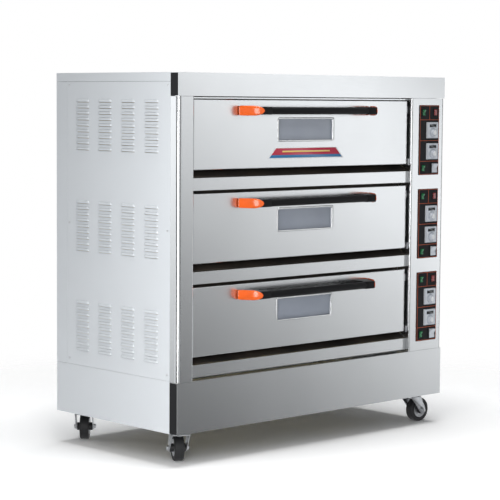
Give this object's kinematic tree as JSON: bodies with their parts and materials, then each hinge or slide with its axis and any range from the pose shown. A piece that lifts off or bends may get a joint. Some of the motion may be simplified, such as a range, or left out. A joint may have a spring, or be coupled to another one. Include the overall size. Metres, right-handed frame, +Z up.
{
  "type": "deck oven",
  "caption": "Three-deck electric baking oven with drop-down glazed doors, a right-hand control column, louvred side panels and swivel casters.",
  "frame": {"origin": "on the floor, under the middle of the whole bounding box", "axes": "+Z up; -Y is the front, where the doors and controls are; +X is to the right seen from the front"},
  "size_m": [1.6124, 0.888, 1.586],
  "materials": {
    "brushed_stainless": "fine vertical brushing, satin",
    "plain_stainless": "plain mill finish",
    "panel_paint": "pale grey powder coat",
    "frame_paint": "dark grey primer",
    "zinc_steel": "bright zinc plating",
    "black_rubber": "moulded black rubber",
    "black_handle": "smooth black heat-resistant plastic",
    "orange_plastic": "glossy orange moulding",
    "black_trim": "satin black",
    "window_glass": "tempered clear glass",
    "chamber_steel": "heat-darkened steel",
    "hearth_iron": "seasoned plate",
    "element_steel": "oxidised heater sheath",
    "mineral_wool": "mineral wool board",
    "instrument_plastic": "pale moulded plastic",
    "knob_plastic": "pale moulded plastic",
    "green_rocker": "translucent green moulding",
    "white_rocker": "white moulding",
    "lamp_glass": "clear and red lenses",
    "gear_plastic": "grey moulded plastic"
  },
  "bodies": {
    "root": {"back_panel": "panel_paint", "chamber_insulation": "mineral_wool", "chamber_liners": "chamber_steel", "control_column": "brushed_stainless", "control_plates": "black_trim", "door_brackets": "zinc_steel", "end_caps": "black_trim", "fasteners": "zinc_steel", "front_rails": "brushed_stainless", "front_skirt": "brushed_stainless", "hearth_plates": "hearth_iron", "heating_elements": "element_steel", "lamps": "lamp_glass", "left_post": "brushed_stainless", "left_side_panel": "panel_paint", "right_side_panel": "panel_paint", "side_skirts": "panel_paint", "switchgear": "gear_plastic", "thermostats": "instrument_plastic", "top_fascia": "brushed_stainless", "top_panel": "panel_paint", "welded_frame": "frame_paint"},
    "door_1": {"door_1_skin": "brushed_stainless", "door_1_inner": "plain_stainless", "door_1_glass": "window_glass", "door_1_handle": "black_handle", "door_1_caps": "orange_plastic"},
    "door_2": {"door_2_skin": "brushed_stainless", "door_2_inner": "plain_stainless", "door_2_glass": "window_glass", "door_2_handle": "black_handle", "door_2_caps": "orange_plastic"},
    "door_3": {"door_3_skin": "brushed_stainless", "door_3_inner": "plain_stainless", "door_3_glass": "window_glass", "door_3_handle": "black_handle", "door_3_caps": "orange_plastic"},
    "fork_front_left": {"caster_fork_front_left": "zinc_steel"},
    "wheel_front_left": {"caster_wheel_front_left": "black_rubber"},
    "fork_front_right": {"caster_fork_front_right": "zinc_steel"},
    "wheel_front_right": {"caster_wheel_front_right": "black_rubber"},
    "fork_back_left": {"caster_fork_back_left": "zinc_steel"},
    "wheel_back_left": {"caster_wheel_back_left": "black_rubber"},
    "fork_back_right": {"caster_fork_back_right": "zinc_steel"},
    "wheel_back_right": {"caster_wheel_back_right": "black_rubber"},
    "knob_1_1": {"knob_1_1": "knob_plastic"},
    "knob_1_2": {"knob_1_2": "knob_plastic"},
    "rocker_1_upper": {"rocker_1_upper": "green_rocker"},
    "rocker_1_lower": {"rocker_1_lower": "green_rocker"},
    "rocker_1_main": {"rocker_1_main": "white_rocker"},
    "knob_2_1": {"knob_2_1": "knob_plastic"},
    "knob_2_2": {"knob_2_2": "knob_plastic"},
    "rocker_2_upper": {"rocker_2_upper": "green_rocker"},
    "rocker_2_lower": {"rocker_2_lower": "green_rocker"},
    "rocker_2_main": {"rocker_2_main": "white_rocker"},
    "knob_3_1": {"knob_3_1": "knob_plastic"},
    "knob_3_2": {"knob_3_2": "knob_plastic"},
    "rocker_3_upper": {"rocker_3_upper": "green_rocker"},
    "rocker_3_lower": {"rocker_3_lower": "green_rocker"},
    "rocker_3_main": {"rocker_3_main": "white_rocker"}
  },
  "joints": [
    {"name": "door_1_hinge", "type": "hinge", "parent": "root", "child": "door_1", "pos_m": [-0.0685, -0.337, 1.206], "axis": [1, 0, 0], "range_deg": [0, 90]},
    {"name": "door_2_hinge", "type": "hinge", "parent": "root", "child": "door_2", "pos_m": [-0.0685, -0.337, 0.828], "axis": [1, 0, 0], "range_deg": [0, 90]},
    {"name": "door_3_hinge", "type": "hinge", "parent": "root", "child": "door_3", "pos_m": [-0.0685, -0.337, 0.45], "axis": [1, 0, 0], "range_deg": [0, 90]},
    {"name": "swivel_front_left", "type": "hinge", "parent": "root", "child": "fork_front_left", "pos_m": [-0.708, -0.274, 0.126], "axis": [0, 0, 1], "continuous": true},
    {"name": "spin_front_left", "type": "hinge", "parent": "fork_front_left", "child": "wheel_front_left", "pos_m": [-0.68764, -0.23727, 0.055], "axis": [0.8746, -0.4848, 0], "continuous": true},
    {"name": "swivel_front_right", "type": "hinge", "parent": "root", "child": "fork_front_right", "pos_m": [0.708, -0.274, 0.126], "axis": [0, 0, 1], "continuous": true},
    {"name": "spin_front_right", "type": "hinge", "parent": "fork_front_right", "child": "wheel_front_right", "pos_m": [0.7499, -0.27693, 0.055], "axis": [-0.0698, -0.9976, 0], "continuous": true},
    {"name": "swivel_back_left", "type": "hinge", "parent": "root", "child": "fork_back_left", "pos_m": [-0.708, 0.356, 0.126], "axis": [0, 0, 1], "continuous": true},
    {"name": "spin_back_left", "type": "hinge", "parent": "fork_back_left", "child": "wheel_back_left", "pos_m": [-0.67936, 0.38672, 0.055], "axis": [0.7314, -0.682, 0], "continuous": true},
    {"name": "swivel_back_right", "type": "hinge", "parent": "root", "child": "fork_back_right", "pos_m": [0.708, 0.356, 0.126], "axis": [0, 0, 1], "continuous": true},
    {"name": "spin_back_right", "type": "hinge", "parent": "fork_back_right", "child": "wheel_back_right", "pos_m": [0.72772, 0.31892, 0.055], "axis": [-0.8829, -0.4695, 0], "continuous": true},
    {"name": "knob_1_1_turn", "type": "hinge", "parent": "root", "child": "knob_1_1", "pos_m": [0.715, -0.378, 1.337], "axis": [0, 1, 0], "range_deg": [0, 300]},
    {"name": "knob_1_2_turn", "type": "hinge", "parent": "root", "child": "knob_1_2", "pos_m": [0.715, -0.378, 1.242], "axis": [0, 1, 0], "range_deg": [0, 300]},
    {"name": "rocker_1_upper_tilt", "type": "hinge", "parent": "root", "child": "rocker_1_upper", "pos_m": [0.658, -0.371, 1.428], "axis": [1, 0, 0], "range_deg": [-20, 0]},
    {"name": "rocker_1_lower_tilt", "type": "hinge", "parent": "root", "child": "rocker_1_lower", "pos_m": [0.658, -0.371, 1.177], "axis": [1, 0, 0], "range_deg": [-20, 0]},
    {"name": "rocker_1_main_tilt", "type": "hinge", "parent": "root", "child": "rocker_1_main", "pos_m": [0.733, -0.371, 1.177], "axis": [1, 0, 0], "range_deg": [-20, 0]},
    {"name": "knob_2_1_turn", "type": "hinge", "parent": "root", "child": "knob_2_1", "pos_m": [0.715, -0.378, 0.959], "axis": [0, 1, 0], "range_deg": [0, 300]},
    {"name": "knob_2_2_turn", "type": "hinge", "parent": "root", "child": "knob_2_2", "pos_m": [0.715, -0.378, 0.864], "axis": [0, 1, 0], "range_deg": [0, 300]},
    {"name": "rocker_2_upper_tilt", "type": "hinge", "parent": "root", "child": "rocker_2_upper", "pos_m": [0.658, -0.371, 1.05], "axis": [1, 0, 0], "range_deg": [-20, 0]},
    {"name": "rocker_2_lower_tilt", "type": "hinge", "parent": "root", "child": "rocker_2_lower", "pos_m": [0.658, -0.371, 0.799], "axis": [1, 0, 0], "range_deg": [-20, 0]},
    {"name": "rocker_2_main_tilt", "type": "hinge", "parent": "root", "child": "rocker_2_main", "pos_m": [0.733, -0.371, 0.799], "axis": [1, 0, 0], "range_deg": [-20, 0]},
    {"name": "knob_3_1_turn", "type": "hinge", "parent": "root", "child": "knob_3_1", "pos_m": [0.715, -0.378, 0.581], "axis": [0, 1, 0], "range_deg": [0, 300]},
    {"name": "knob_3_2_turn", "type": "hinge", "parent": "root", "child": "knob_3_2", "pos_m": [0.715, -0.378, 0.486], "axis": [0, 1, 0], "range_deg": [0, 300]},
    {"name": "rocker_3_upper_tilt", "type": "hinge", "parent": "root", "child": "rocker_3_upper", "pos_m": [0.658, -0.371, 0.672], "axis": [1, 0, 0], "range_deg": [-20, 0]},
    {"name": "rocker_3_lower_tilt", "type": "hinge", "parent": "root", "child": "rocker_3_lower", "pos_m": [0.658, -0.371, 0.421], "axis": [1, 0, 0], "range_deg": [-20, 0]},
    {"name": "rocker_3_main_tilt", "type": "hinge", "parent": "root", "child": "rocker_3_main", "pos_m": [0.733, -0.371, 0.421], "axis": [1, 0, 0], "range_deg": [-20, 0]}
  ]
}
